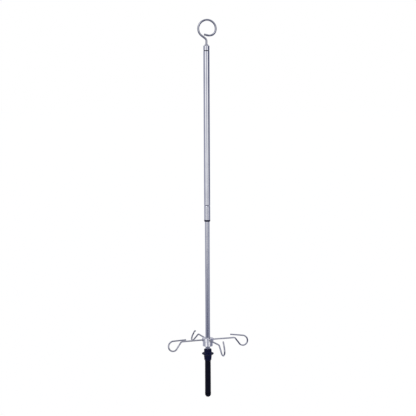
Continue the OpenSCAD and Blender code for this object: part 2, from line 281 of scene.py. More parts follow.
M["hub_chrome"] = metal("hub_chrome", (0.82, 0.82, 0.84), (0.5, 0.5, 0.56), (0.13, 0.22), grain="turned", seed=5.0, bump_s=0.5, spots=0.3)
M["hidden_steel"] = metal("hidden_steel", (0.60, 0.60, 0.63), (0.3, 0.3, 0.33), (0.25, 0.4), grain="even", seed=6.0, bump_s=0.4, spots=0.3)
M["dark_screw"] = metal("dark_screw", (0.09, 0.09, 0.10), (0.03, 0.03, 0.035), (0.32, 0.48), grain="even", seed=7.0, bump_s=0.5, spots=0.3)
M["spring_steel"] = metal("spring_steel", (0.48, 0.48, 0.51), (0.2, 0.2, 0.23), (0.22, 0.36), grain="even", seed=9.0, bump_s=0.4, spots=0.3)
M["black_nylon"] = plastic("black_nylon", (0.006, 0.009, 0.034), (0.022, 0.027, 0.07), (0.30, 0.42), 0.25, line_scale=2600, seed=1.0)
M["white_nylon"] = plastic("white_nylon", (0.74, 0.73, 0.67), (0.86, 0.85, 0.80), (0.38, 0.5), 0.4, line_scale=2600, seed=2.0, wear=0.3)
M["collar_plastic"] = plastic("collar_plastic", (0.0026, 0.0048, 0.036), (0.012, 0.018, 0.075), (0.32, 0.46), 0.17, grain_scale=1500, bump_s=0.35, wear=0.22, line_scale=1500, seed=3.0)
M["grip_rubber"] = plastic("grip_rubber", (0.0016, 0.0023, 0.011), (0.008, 0.010, 0.028), (0.34, 0.48), 0.15, grain_scale=900, bump_s=0.30, bump_d=0.00005, wear=0.14, seed=4.0)

# ---------------------------------------------------------------- mesh helpers


def fil(pts, closed=False):
    """Polyline of (r, z, fillet radius) to (r, z, nr, nz) with true arcs, normals to the right of travel turned outwards later."""
    P = [Vector((p[0], p[1])) for p in pts]
    R = [p[2] if len(p) > 2 else 0.0 for p in pts]
    n = len(P)
    out = []

    def seg_normal(a, b):
        d = (b - a).normalized()
        return Vector((d.y, -d.x))

    for i in range(n):
        if not closed and i in (0, n - 1):
            nn = seg_normal(P[0], P[1]) if i == 0 else seg_normal(P[-2], P[-1])
            out.append((P[i].x, P[i].y, nn.x, nn.y))
            continue
        a, b, c = P[i - 1], P[i], P[(i + 1) % n]
        u, v = (a - b).normalized(), (c - b).normalized()
        dot = max(-1.0, min(1.0, u.dot(v)))
        ang = math.acos(dot)
        if R[i] <= 0 or ang > PI - 0.01:
            n0, n1 = seg_normal(a, b), seg_normal(b, c)
            if n0.dot(n1) > 0.9995:
                out.append((b.x, b.y, n0.x, n0.y))
            else:
                out.append((b.x, b.y, n0.x, n0.y))
                out.append((b.x, b.y, n1.x, n1.y))
            continue
        t = min(R[i] / math.tan(ang / 2), 0.49 * (a - b).length, 0.49 * (c - b).length)
        rad = t * math.tan(ang / 2)
        centre = b + (u + v).normalized() * (rad / math.sin(ang / 2))
        p0, p1 = b + u * t, b + v * t
        n0, n1 = seg_normal(a, b), seg_normal(b, c)
        sgn = 1 if (p0 - centre).dot(n0) > 0 else -1
        k = max(3, int(math.ceil(math.degrees(PI - ang) / 11)))
        a0 = math.atan2(p0.y - centre.y, p0.x - centre.x)
        da = math.atan2(p1.y - centre.y, p1.x - centre.x) - a0
        while da > PI:
            da -= 2 * PI
        while da < -PI:
            da += 2 * PI
        for j in range(k + 1):
            w = a0 + da * j / k
            e = Vector((math.cos(w), math.sin(w)))
            q = centre + e * rad
            out.append((q.x, q.y, e.x * sgn, e.y * sgn))
    return out


def split_long(prof, step, closed=False):
    """Adds points on long straight runs, so that quads stay well shaped."""
    out = []
    n = len(prof)
    for i in range(n):
        out.append(prof[i])
        if i == n - 1 and not closed:
            break
        q = prof[(i + 1) % n]
        d = math.hypot(q[0] - prof[i][0], q[1] - prof[i][1])
        k = int(d // step)
        if k > 1 and abs(prof[i][2] - q[2]) + abs(prof[i][3] - q[3]) < 1e-3:
            for j in range(1, k):
                w = j / k
                out.append(tuple(prof[i][m] * (1 - w) + q[m] * w for m in range(4)))
    return out


def make_obj(name, verts, faces, normals=None, mat=None, smooth=True):
    me = bpy.data.meshes.new(name)
    me.from_pydata(verts, [], faces)
    me.validate()
    me.update()
    ob = bpy.data.objects.new(name, me)
    scene.collection.objects.link(ob)
    if smooth:
        me.polygons.foreach_set("use_smooth", [True] * len(me.polygons))
    if normals is not None:
        me.normals_split_custom_set_from_vertices(normals)
    if mat is not None:
        me.materials.append(mat)
    return ob


def fix_outward(me, verts_normals=None):
    bm = bmesh.new()
    bm.from_mesh(me)
    bmesh.ops.recalc_face_normals(bm, faces=bm.faces)
    bm.to_mesh(me)
    bm.free()


def signed_volume(me):
    v = 0.0
    for p in me.polygons:
        c = [me.vertices[i].co for i in p.vertices]
        for k in range(1, len(c) - 1):
            v += c[0].dot(c[k].cross(c[k + 1]))
    return v / 6


def lathe(name, prof, segs=96, closed=False, mat=None, z0=0.0):
    """Turned piece from a (r, z, nr, nz) profile in mm. Rings that coincide are shared; each corner keeps its own exact normal."""
    if closed:
        area = sum(a[0] * b[1] - b[0] * a[1] for a, b in zip(prof, prof[1:] + prof[:1]))
        if area < 0:
            prof = [(r, z, -nr, -nz) for r, z, nr, nz in prof]
    verts, rings = [], []
    for i, (r, z, nr, nz) in enumerate(prof):
        if i and abs(r - prof[i - 1][0]) < 1e-7 and abs(z - prof[i - 1][1]) < 1e-7:
            rings.append(rings[-1])
            continue
        if closed and i == len(prof) - 1 and abs(r - prof[0][0]) < 1e-7 and abs(z - prof[0][1]) < 1e-7:
            rings.append(rings[0])
            continue
        if r < 1e-6:
            rings.append([len(verts)])
            verts.append((0, 0, (z + z0) * MM))
        else:
            rings.append(list(range(len(verts), len(verts) + segs)))
            for k in range(segs):
                a = 2 * PI * k / segs
                verts.append((r * math.cos(a) * MM, r * math.sin(a) * MM, (z + z0) * MM))

    def nrm(p, k):
        a = 2 * PI * (k % segs) / segs
        if p[0] < 1e-6:
            return (0.0, 0.0, 1.0 if p[3] > 0 else -1.0)
        return (p[2] * math.cos(a), p[2] * math.sin(a), p[3])

    pairs = [(i, i + 1) for i in range(len(prof) - 1)]
    if closed:
        pairs.append((len(prof) - 1, 0))
    faces, norms = [], []
    for i, j in pairs:
        A, B = rings[i], rings[j]
        if A is B or (len(A) == 1 and len(B) == 1):
            continue
        pa, pb = prof[i], prof[j]
        up_ = pb[1] - pa[1]
        out_ = pb[0] - pa[0]
        nr, nz = pa[2] + pb[2], pa[3] + pb[3]
        # with A, B, k to k + 1 the face normal in (r, z) is (up_, -out_) turned by the winding below
        turn = 1 if (up_ * nr - out_ * nz) > 0 else -1
        for k in range(segs):
            k2 = (k + 1) % segs
            if len(A) == 1:
                f, n = [A[0], B[k2], B[k]], [nrm(pa, k), nrm(pb, k2), nrm(pb, k)]
            elif len(B) == 1:
                f, n = [A[k], A[k2], B[0]], [nrm(pa, k), nrm(pa, k2), nrm(pb, k)]
            else:
                f, n = [A[k], A[k2], B[k2], B[k]], [nrm(pa, k), nrm(pa, k2), nrm(pb, k2), nrm(pb, k)]
            if turn < 0:
                f, n = f[::-1], n[::-1]
            faces.append(f)
            norms += n
    me = bpy.data.meshes.new(name)
    me.from_pydata(verts, [], faces)
    me.update()
    me.polygons.foreach_set("use_smooth", [True] * len(me.polygons))
    me.normals_split_custom_set(norms)
    ob = bpy.data.objects.new(name, me)
    scene.collection.objects.link(ob)
    if mat is not None:
        me.materials.append(mat)
    return ob


def turned(name, pts, mat, body, replaces=(), segs=96, closed=True, z0=0.0, step=6.0):
    """A turned piece with rounded edges; the profile may run either way."""
    ob = lathe(name, split_long(fil(pts, closed), step, closed), segs, closed, mat, z0)
    attach(ob, body, replaces)
    return ob


def attach(ob, body, replaces=()):
    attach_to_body(ob, body)
    if replaces:
        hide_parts(*replaces)
    return ob


def rot(axis, a):
    return Matrix.Rotation(math.radians(a), 4, axis)


def wire_path(start, rows, ds=1.2, da=4.0):
    """Centreline of a wire fed, rolled and bent row by row: list of (point, frame matrix, length so far)."""
    Mx = start.copy()
    out = []
    s = 0.0
    for feed, roll, r, a in rows:
        k = max(1, int(round(feed / ds)))
        for i in range(k + 1):
            if i == 0 and out:
                continue
            T = Mx @ Matrix.Translation((0, 0, feed * i / k))
            out.append((T.to_translation(), T.to_3x3(), s + feed * i / k))
        s += feed
        Mx = Mx @ Matrix.Translation((0, 0, feed)) @ rot("Z", roll)
        if a > 0:
            k = max(2, int(math.ceil(a / da)))
            base = Mx.copy()
            for i in range(1, k + 1):
                T = base @ Matrix.Translation((r, 0, 0)) @ rot("Y", a * i / k) @ Matrix.Translation((-r, 0, 0))
                out.append((T.to_translation(), T.to_3x3(), s + math.radians(a * i / k) * r))
            s += math.radians(a) * r
            Mx = base @ Matrix.Translation((r, 0, 0)) @ rot("Y", a) @ Matrix.Translation((-r, 0, 0))
    return out


def sweep(name, path, d, mat, sides=28, tip0=0.8, tip1=0.8, thread=None):
    """Round wire along a path with ground tips. The straight-wire position is kept in the attribute 'rest', in metres."""
    rad = d / 2
    # parallel transport of one side vector
    tang = [p[1] @ Vector((0, 0, 1)) for p in path]
    side = path[0][1] @ Vector((1, 0, 0))
    frames = []
    for i, t in enumerate(tang):
        if i:
            ax = tang[i - 1].cross(t)
            if ax.length > 1e-9:
                side = Matrix.Rotation(tang[i - 1].angle(t), 3, ax.normalized()) @ side
        side = (side - t * side.dot(t)).normalized()
        frames.append((side.copy(), t.cross(side).normalized()))
    rows = []  # (centre, u, v, t, radius, nt, s)
    L = path[-1][2]

    def tip(i, sgn, c):
        p, fr, t = path[i][0], frames[i], tang[i]
        s = path[i][2]
        out = []
        n = 7
        for j in range(n):
            w = (j / (n - 1)) * PI / 2
            # from the flat end face to the side: quarter round of radius c
            r = rad - c + c * math.sin(w)
            h = c * math.cos(w)
            out.append((p + t * sgn * (h - 0.0), fr[0], fr[1], t, r, sgn * math.cos(w), s + sgn * h))
        return out

    c0, c1 = min(tip0, rad * 0.95), min(tip1, rad * 0.95)
    first, last = tip(0, -1, c0), tip(-1, 1, c1)
    for q in first:
        rows.append(q)
    for i in range(1, len(path) - 1):
        rows.append((path[i][0], frames[i][0], frames[i][1], tang[i], rad, 0.0, path[i][2]))
    for q in reversed(last):
        rows.append(q)
    verts, norms, rest, faces = [], [], [], []
    rings = []

    def pole(q, sgn):
        rings.append([len(verts)])
        verts.append(tuple(q[0] * MM))
        norms.append(tuple(q[3] * sgn))
        rest.append((0, 0, q[6] * MM))

    pole(rows[0], -1)
    for (c, u, v, t, r, nt_, s) in rows:
        row = []
        for k in range(sides):
            a = 2 * PI * k / sides
            e = u * math.cos(a) + v * math.sin(a)
            rr = r
            if thread and thread[0] < s < thread[1]:
                ph = (s / thread[2] - k / sides) % 1.0
                rr = r - thread[3] * abs(2 * ph - 1)
            row.append(len(verts))
            verts.append(tuple((c + e * rr) * MM))
            nn = (e * math.sqrt(max(0.0, 1 - nt_ * nt_)) + t * nt_).normalized()
            norms.append(tuple(nn))
            rest.append((rr * math.cos(a) * MM, rr * math.sin(a) * MM, s * MM))
        rings.append(row)
    pole(rows[-1], 1)
    for i in range(len(rings) - 1):
        A, B = rings[i], rings[i + 1]
        for k in range(sides):
            k2 = (k + 1) % sides
            if len(A) == 1:
                faces.append([A[0], B[k2], B[k]])
            elif len(B) == 1:
                faces.append([A[k], A[k2], B[0]])
            else:
                faces.append([A[k], A[k2], B[k2], B[k]])
    ob = make_obj(name, verts, faces, None if thread else norms, mat)
    if signed_volume(ob.data) < 0:
        ob.data.flip_normals()
    at = ob.data.attributes.new("rest", "FLOAT_VECTOR", "POINT")
    at.data.foreach_set("vector", [x for p in rest for x in p])
    return ob


def evaluated_copy(ob):
    dg = bpy.context.evaluated_depsgraph_get()
    return bpy.data.meshes.new_from_object(ob.evaluated_get(dg), preserve_all_data_layers=True, depsgraph=dg)


def cylinder_mesh(r, h, segs=48, r2=None):
    """Closed cylinder or cone along +Z from 0, mm to m."""
    r2 = r if r2 is None else r2
    v = [(r * math.cos(2 * PI * k / segs) * MM, r * math.sin(2 * PI * k / segs) * MM, 0) for k in range(segs)]
    v += [(r2 * math.cos(2 * PI * k / segs) * MM, r2 * math.sin(2 * PI * k / segs) * MM, h * MM) for k in range(segs)]
    f = [[k, (k + 1) % segs, segs + (k + 1) % segs, segs + k] for k in range(segs)]
    f.append(list(range(segs))[::-1])
    f.append([segs + k for k in range(segs)])
    me = bpy.data.meshes.new("cut")
    me.from_pydata(v, [], f)
    me.update()
    return me


def cut(ob, cutters):
    """Exact boolean difference with a list of (mesh, matrix)."""
    bm = bmesh.new()
    for me, mx in cutters:
        t = me.copy()
        t.transform(mx)
        bm.from_mesh(t)
        bpy.data.meshes.remove(t)
    cm = bpy.data.meshes.new("cutters")
    bm.to_mesh(cm)
    bm.free()
    co = bpy.data.objects.new("cutters", cm)
    scene.collection.objects.link(co)
    md = ob.modifiers.new("holes", "BOOLEAN")
    md.operation = "DIFFERENCE"
    md.solver = "EXACT"
    md.object = co
    bpy.context.view_layer.update()
    new = evaluated_copy(ob)
    ob.modifiers.clear()
    old = ob.data
    name = old.name
    ob.data = new
    bpy.data.meshes.remove(old)
    new.name = name
    bpy.data.objects.remove(co)
    bpy.data.meshes.remove(cm)
    return ob


def analytic_normals(ob, prof, z0, holes):
    """Corner normals of a drilled turned piece: the profile's own on turned faces, the hole's axis on bored ones."""
    me = ob.data
    area = sum(a[0] * b[1] - b[0] * a[1] for a, b in zip(prof, prof[1:] + prof[:1]))
    sg = -1.0 if area < 0 else 1.0
    P = np.array(prof)
    Q = np.roll(P, -1, axis=0)
    keep = np.hypot(P[:, 0] - Q[:, 0], P[:, 1] - Q[:, 1]) > 1e-6
    P, Q = P[keep], Q[keep]
    D = Q[:, :2] - P[:, :2]
    L2 = (D ** 2).sum(1)

    def near(r, z, f2):
        w = ((r[:, None] - P[None, :, 0]) * D[None, :, 0] + (z[:, None] - P[None, :, 1]) * D[None, :, 1]) / L2[None]
        w = np.clip(w, 0, 1)
        d = np.hypot(r[:, None] - (P[None, :, 0] + w * D[None, :, 0]), z[:, None] - (P[None, :, 1] + w * D[None, :, 1]))
        nr = sg * (P[None, :, 2] * (1 - w) + Q[None, :, 2] * w)
        nz = sg * (P[None, :, 3] * (1 - w) + Q[None, :, 3] * w)
        c = d + 0.02 * (1 - (nr * f2[:, :1] + nz * f2[:, 1:]))
        k = c.argmin(1)
        i = np.arange(len(r))
        return c[i, k], nr[i, k], nz[i, k]

    n = len(me.polygons)
    ctr = np.empty(n * 3)
    me.polygons.foreach_get("center", ctr)
    ctr = ctr.reshape(-1, 3)
    fn = np.empty(n * 3)
    me.polygons.foreach_get("normal", fn)
    fn = fn.reshape(-1, 3)
    az = np.arctan2(ctr[:, 1], ctr[:, 0])
    f2 = np.stack([fn[:, 0] * np.cos(az) + fn[:, 1] * np.sin(az), fn[:, 2]], 1)
    d, a, b = near(np.hypot(ctr[:, 0], ctr[:, 1]) / MM, ctr[:, 2] / MM - z0, f2)
    is_turned = (d < 0.06) & (a * f2[:, 0] + b * f2[:, 1] > 0.85)
    co = np.empty(len(me.vertices) * 3)
    me.vertices.foreach_get("co", co)
    co = co.reshape(-1, 3)
    lv = np.empty(len(me.loops), dtype=np.int32)
    me.loops.foreach_get("vertex_index", lv)
    lt = np.empty(n, dtype=np.int32)
    me.polygons.foreach_get("loop_total", lt)
    lf = np.repeat(np.arange(n), lt)
    lc = co[lv]
    az = np.arctan2(lc[:, 1], lc[:, 0])
    d, a, b = near(np.hypot(lc[:, 0], lc[:, 1]) / MM, lc[:, 2] / MM - z0, f2[lf])
    out = np.stack([a * np.cos(az), a * np.sin(az), b], 1)
    other = ~is_turned[lf]
    out[other] = fn[lf][other]
    bored = np.zeros(n, dtype=np.int32)
    for hc, ha in holes:
        hc, ha = np.array(hc), np.array(ha)
        dd = ctr / MM - hc
        t = dd @ ha
        rad = np.linalg.norm(dd - t[:, None] * ha, axis=1)
        ax = fn @ ha
        m = (~is_turned) & (rad < 4.5) & (t > 0) & (np.abs(ax) < 0.9)
        bored[m] = 1
        ml = m[lf]
        v = lc[ml] / MM - hc
        q = v - (v @ ha)[:, None] * ha
        q = -q / np.maximum(np.linalg.norm(q, axis=1), 1e-9)[:, None]
        al = ax[lf][ml][:, None]
        out[ml] = q * np.sqrt(np.maximum(0, 1 - al * al)) + ha * al
    me.polygons.foreach_set("use_smooth", [True] * n)
    me.normals_split_custom_set([tuple(x) for x in out])
    # bored faces go to the second material slot, which on the hub holds a dark metal painted as shade in the holes
    if holes:
        me.polygons.foreach_set("material_index", bored)


# ---------------------------------------------------------------- hanger body
path = wire_path(
    Matrix.Translation((0, 0, Z_SHANK_B + 0.8)) @ rot("Z", 180),
    [
        (Z_BEND - Z_SHANK_B - 0.8, 0, 10, EYE_LEAN),
        (EYE_RUN, 180, EYE_R, 242),
        (0.4, 0, 18, 94),
        (EYE_END - 0.1, 0, 0, 0),
    ],
    ds=1.0, da=2.5,
)
eye = sweep("eye_loop_wire", path, EYE_D, M["eye_wire"], sides=40, tip0=0.8, tip1=0.8)
attach(eye, "hanger", ["hanging_loop"])

turned("swivel_cap", [
    (3.02, Z_CAP_B, 0.15), (9, Z_CAP_B, 0.45), (9, Z_SHOULDER, 1.1), (3.5, Z_CONE - 0.05, 0.25), (3.02, Z_CONE, 0.05)],
    M["cap_steel"], "hanger", ["top_cap"], segs=112, step=3)

# ---------------------------------------------------------------- outer body
turned("nylon_swivel_washer", [
    (3.15, Z_TUBE_T, 0.15), (8.2, Z_TUBE_T, 0.25), (8.2, Z_TUBE_T + 2, 0.25), (3.15, Z_TUBE_T + 2, 0.15)],
    M["black_nylon"], "outer_body", ["swivel_washer"], segs=96)

prof_tube = [
    (8, Z_TUBE_B, 0.12), (8.4, Z_TUBE_B, 0.1), (8.48, Z_TUBE_B + 0.6, 0.3), (9, Z_TUBE_B + 2.2, 0.5), (9, Z_TUBE_T, 0.38), (8, Z_TUBE_T, 0.12)]
outer = turned("outer_tube_shell", prof_tube, M["tube_steel"], "outer_body", ["outer_tube"], segs=128, step=12)

turned("ferrule_sleeve", [
    (8, Z_FER_B, 0.1), (9, Z_FER_B, 0.75), (9, Z_TUBE_B - 2.2, 0.5), (8.48, Z_TUBE_B - 0.6, 0.3), (8.4, Z_TUBE_B, 0.1), (7.98, Z_TUBE_B, 0.1), (7.98, Z_TUBE_B + 19.5, 0.4),
    (7.3, Z_TUBE_B + 19.5, 0.1), (7.3, Z_FER_B + 30, 0.05), (8, Z_FER_B + 30, 0.05)],
    M["ferrule_steel"], "outer_body", ["end_ferrule"], segs=128, step=8)

turned("guide_bush_lip", [
    (7.3, Z_LIP_B, 0.12), (7.95, Z_LIP_B, 0.3), (8.6, Z_LIP_B + 1.9, 0.5), (9, Z_LIP_B + 2.7, 0.3), (9, Z_FER_B, 0.12), (7.98, Z_FER_B, 0.05),
    (7.98, Z_FER_B + 30, 0.2), (7.05, Z_FER_B + 30, 0.15), (7.05, Z_LIP_B + 0.6, 0.1)],
    M["black_nylon"], "outer_body", ["guide_bush"], segs=112, step=6)

# ---------------------------------------------------------------- slide body
# The hub: turned, then drilled and countersunk for the four wires and the two set screws.
hub_pts = [
    (7.02, HUB_B, 0.25), (14.75, HUB_B, 1.0), (14.75, -4.5, 0.7), (17, -4.5, 0.75), (17, 4.5, 0.95), (7.02, 4.5, 0.3)]
hub_prof = split_long(fil(hub_pts, True), 2.2, True)
# The hub's walls are straight. Only their shading normals lean up 4.5 degrees, a stand-in that steers the
# reflections and moves no geometry.
_sg = -1.0 if sum(a[0] * b[1] - b[0] * a[1] for a, b in zip(hub_prof, hub_prof[1:] + hub_prof[:1])) < 0 else 1.0
hub_prof = [(r, z, _sg * cosd(4.5), _sg * sind(4.5)) if r > 14 and _sg * nr > 0.97 else (r, z, nr, nz) for r, z, nr, nz in hub_prof]
# A dark metal for the bored holes and countersinks: painted shade in the recesses at the wire and screw roots.
M["recess_painted_shade"] = metal("recess_painted_shade", (0.13, 0.135, 0.17), (0.05, 0.052, 0.07), (0.3, 0.45), grain="even", seed=11.0, spots=0.3)
hub = lathe("hub_body", hub_prof, 144, True, M["hub_chrome"], Z_ARM)
cutters, holes = [], []
centre = Vector((0, 0, Z_ARM))
for _, a, _, _ in HOOKS:
    base = Matrix.Translation((0, 0, Z_ARM * MM)) @ rot("Z", a)
    cutters.append((cylinder_mesh(2.30, 12, 48), base @ Matrix.Translation((8.8 * MM, 0, 0)) @ rot("Y", 90)))
    cutters.append((cylinder_mesh(2.30, 2.2, 48, 4.0), base @ Matrix.Translation((15.9 * MM, 0, 0)) @ rot("Y", 90)))
    holes.append((centre + Vector((8.0 * cosd(a), 8.0 * sind(a), 0)), Vector((cosd(a), sind(a), 0))))
zs = -4.5 - 7.25
for k in range(2):
    a = SCREW_TURN + 90 * k
    base = Matrix.Translation((0, 0, (Z_ARM + zs) * MM)) @ rot("Z", a)
    cutters.append((cylinder_mesh(2.5, 12, 48), base @ Matrix.Translation((6.0 * MM, 0, 0)) @ rot("Y", 90)))
    cutters.append((cylinder_mesh(2.5, 1.6, 48, 3.6), base @ Matrix.Translation((14.2 * MM, 0, 0)) @ rot("Y", 90)))
    holes.append((centre + Vector((6.0 * cosd(a), 6.0 * sind(a), zs)), Vector((cosd(a), sind(a), 0))))
# overlapping cutters are joined one after another, so that the exact solver sees clean solids
cut(hub, [c for i, c in enumerate(cutters) if i % 2 == 0])
cut(hub, [c for i, c in enumerate(cutters) if i % 2 == 1])
analytic_normals(hub, hub_prof, Z_ARM, holes)
# the bored faces take the second slot, the dark metal painted as shade in the holes
hub.data.materials.clear()
hub.data.materials.append(M["hub_chrome"])
hub.data.materials.append(M["recess_painted_shade"])
attach(hub, "slide", ["hook_hub"])

# Set screws with a real hexagon socket
for k in range(2):
    a = SCREW_TURN + 90 * k
    n = 48
    hexr = 1.5
    rows = []

    def hexpt(t):
        t = (t % (2 * PI))
        w = (t % (PI / 3)) - PI / 6
        return hexr * math.cos(PI / 6) / math.cos(w)

    L1 = 14.15
    prof = [(0.0, 7.1, "c"), (1.9, 7.1, "c"), (2.44, 7.65, "c")]
    z = 7.9
    while z < 13.6:
        prof.append((2.44, z, "c"))
        prof.append((2.18, z + 0.2, "c"))
        prof.append((2.18, z + 0.3, "c"))
        prof.append((2.44, z + 0.5, "c"))
        z += 0.8
    prof += [(2.44, 13.75, "c"), (2.15, L1, "c"), (1.12, L1, "h1"), (1.0, L1 - 0.12, "h0"), (1.0, L1 - 2.3, "h0"), (0.0, L1 - 2.9, "c")]
    verts, faces, rings = [], [], []
    for r, zz, kind in prof:
        if r == 0:
            rings.append([len(verts)])
            verts.append((0, 0, zz * MM))
            continue
        row = []
        for j in range(n):
            t = 2 * PI * j / n
            rr = r if kind == "c" else hexpt(t) * r / 1.0
            row.append(len(verts))
            verts.append((rr * math.cos(t) * MM, rr * math.sin(t) * MM, zz * MM))
        rings.append(row)
    for i in range(len(rings) - 1):
        A, B = rings[i], rings[i + 1]
        for j in range(n):
            j2 = (j + 1) % n
            if len(A) == 1:
                faces.append([A[0], B[j2], B[j]])
            elif len(B) == 1:
                faces.append([A[j], A[j2], B[0]])
            else:
                faces.append([A[j], A[j2], B[j2], B[j]])
    s = make_obj("set_screw_%s" % ("back" if k == 0 else "left"), verts, faces, None, M["dark_screw"])
    s.data.transform(Matrix.Translation((0, 0, (Z_ARM + zs) * MM)) @ rot("Z", a) @ rot("Y", 90))
    if signed_volume(s.data) < 0:
        s.data.flip_normals()
    s.data.set_sharp_from_angle(angle=math.radians(32))
    attach(s, "slide", ["hub_screws"])

# Inner tube: turned shell with its cross slot and cross holes cut
it_prof = split_long(fil([(6, IN_B, 0.1), (7, IN_B, 0.3), (7, IN_T, 0.3), (6, IN_T, 0.1)], True), 12, True)
it = lathe("inner_tube_shell", it_prof, 128, True, M["inner_steel"], Z_ARM)


def slot_mesh(r, z0, z1, half=12, segs=32):
    """Through slot across X: a stadium in YZ extruded along X."""
    pts = []
    for k in range(segs // 2 + 1):
        a = PI * k / (segs // 2)
        pts.append((r * math.cos(a), z1 + r * math.sin(a)))
    for k in range(segs // 2 + 1):
        a = PI + PI * k / (segs // 2)
        pts.append((r * math.cos(a), z0 + r * math.sin(a)))
    m = len(pts)
    v = [(-half * MM, y * MM, z * MM) for y, z in pts] + [(half * MM, y * MM, z * MM) for y, z in pts]
    f = [[i, (i + 1) % m, m + (i + 1) % m, m + i] for i in range(m)]
    f.append(list(range(m))[::-1])
    f.append([m + i for i in range(m)])
    me = bpy.data.meshes.new("slot")
    me.from_pydata(v, [], f)
    me.update()
    b2 = bmesh.new()
    b2.from_mesh(me)
    bmesh.ops.recalc_face_normals(b2, faces=b2.faces)
    b2.to_mesh(me)
    b2.free()
    return me


up = Matrix.Translation((0, 0, Z_ARM * MM))
seat_z = PIN_Z - 4 - 36 - 4


def cross(r, z, half=12):
    return (cylinder_mesh(r, 2 * half, 40), up @ Matrix.Translation((-half * MM, 0, z * MM)) @ rot("Y", 90))


cut(it, [(slot_mesh(1.65, PIN_Z - 5.1, PIN_Z + 0.1), up), cross(1.51, seat_z), cross(1.26, IN_T - 8)])
hx = Vector((1, 0, 0))
analytic_normals(it, it_prof, Z_ARM, [])
if not it.data.materials:
    it.data.materials.append(M["inner_steel"])
attach(it, "slide", ["inner_tube"])

# Hook wires
for nm, azim, roll_, reach in HOOKS:
    start = Matrix.Translation((0, 0, Z_ARM)) @ rot("Z", azim) @ Matrix.Translation((9.5, 0, 0)) @ rot("Y", 90)
    path = wire_path(start, [(reach - 9.5, roll_, 8, 52), (22, 180, 13.7, 151), (0.4, -20, 15.5, 79), (36.4 - 0.1, 0, 0, 0)], ds=1.0, da=3.0)
    h = sweep("hook_wire_" + nm, path, 4.5, M["hook_wire_" + nm], sides=32, tip0=0.5, tip1=0.8)
    attach(h, "slide", ["hook_" + nm])

# Grip: dipped vinyl sleeve with a rolled mouth and a domed end
gr = 8.8
g_pts = [(0.0, IN_B - 0.4, 0), (7.02, IN_B - 0.4, 0.15), (7.02, GRIP_M, 0.22), (8.5, GRIP_M, 0.62), (8.5, GRIP_M - 8.2, 0.5), (8.42, GRIP_M - 9.0, 0.8), (8.53, GRIP_M - 10.2, 0.8),
         (8.68, GRIP_B + gr + 12, 6.0), (8.8, GRIP_B + gr + 3.2, 2.0)]
g_prof = fil(g_pts, False)
for i in range(0, 25):
    w = -PI / 2 * i / 24
    g_prof.append((gr * math.cos(w) if i < 24 else 0.0, GRIP_B + gr + gr * math.sin(w), math.cos(w), math.sin(w)))
g_prof = split_long(g_prof, 2.5)
# the bottom run, the bore and the mouth come first, then the outside: its normals point away from the material
grip = lathe("hand_grip", g_prof, 128, False, M["grip_rubber"], Z_ARM)
if signed_volume(grip.data) < 0:
    print("grip is inside out")
attach(grip, "slide", ["grip"])

# ---------------------------------------------------------------- release collar
c_pts = [
    (8.75, COL_B, 0.2), (9.75, COL_B, 0.35), (10.35, COL_B + 0.85, 0.5), (11.7, COL_F - 5.2, 1.2), (12.5, COL_F - 3.9, 0.9)]
prof = fil(c_pts, False)[:-1]
fr = 17.3
prof_f = [(fr - 2.5 + 2.5 * math.cos(math.radians(t)), COL_F + 2.5 * math.sin(math.radians(t)), 0, 0) for t in range(-72, 73, 9)]
c_top = fil([(12.3, COL_F + 3.6, 0), (11.75, COL_F + 4.5, 0.8), (11.25, COL_F + 5.6, 0.8), (11.2, COL_T - 2.6, 0.8), (10.5, COL_T - 0.45, 0.5), (9.8, COL_T, 0.35), (8.55, COL_T, 0.3), (7.05, COL_T - 3, 0.4), (7.05, COL_T - 8, 0.0)], False)
outline = [(p[0], p[1]) for p in prof] + [(12.5, COL_F - 3.9)] + [(p[0], p[1]) for p in prof_f] + [(p[0], p[1]) for p in c_top]


def resample(pts, step):
    out = [pts[0]]
    for a, b in zip(pts, pts[1:]):
        d = math.hypot(b[0] - a[0], b[1] - a[1])
        k = max(1, int(math.ceil(d / step)))
        for j in range(1, k + 1):
            out.append((a[0] + (b[0] - a[0]) * j / k, a[1] + (b[1] - a[1]) * j / k))
    return out


dense = resample(outline, 0.45)
# close down the bore
dense += [(7.05, COL_T - 8 - (COL_T - 8 - BORE_T) * j / 5) for j in range(1, 6)] + [(7.9, BORE_T), (8.75, BORE_T), (8.75, BORE_T - 2), (8.75, BORE_T - 4)]
segs = 216
verts, faces, rings = [], [], []
starts = 12
for r, z in dense:
    row = []
    zl = z
    w = 0.0
    if r > 9.9 and zl < COL_F - 4.6:
        w = min(1.0, (COL_F - 4.6 - zl) / 1.2) * min(1.0, max(0.0, (zl - (COL_B + 1.6)) / 1.2))
    for j in range(segs):
        t = 2 * PI * j / segs
        rr = r
        if w > 0:
            ph = (starts * t / (2 * PI) + (zl - COL_B) / 5.6) % 1.0
            g = max(0.0, math.cos(2 * PI * (ph - 0.5))) ** 1.5
            rr = r - 0.42 * w * g
        row.append(len(verts))
        verts.append((rr * math.cos(t) * MM, rr * math.sin(t) * MM, (Z_ARM + z) * MM))
    rings.append(row)
m = len(rings)
for i in range(m):
    A, B = rings[i], rings[(i + 1) % m]
    for j in range(segs):
        j2 = (j + 1) % segs
        faces.append([A[j], A[j2], B[j2], B[j]])
collar = make_obj("release_collar_body", verts, faces, None, M["collar_plastic"])
bm = bmesh.new()
bm.from_mesh(collar.data)
bmesh.ops.remove_doubles(bm, verts=bm.verts, dist=1e-7)
bmesh.ops.recalc_face_normals(bm, faces=bm.faces)
bm.to_mesh(collar.data)
bm.free()
if signed_volume(collar.data) < 0:
    collar.data.flip_normals()
cut(collar, [cross(1.51, PIN_Z, 14)])
collar.data.polygons.foreach_set("use_smooth", [True] * len(collar.data.polygons))
collar.data.set_sharp_from_angle(angle=math.radians(38))
if not collar.data.materials:
    collar.data.materials.append(M["collar_plastic"])
attach(collar, "release", ["release_collar"])

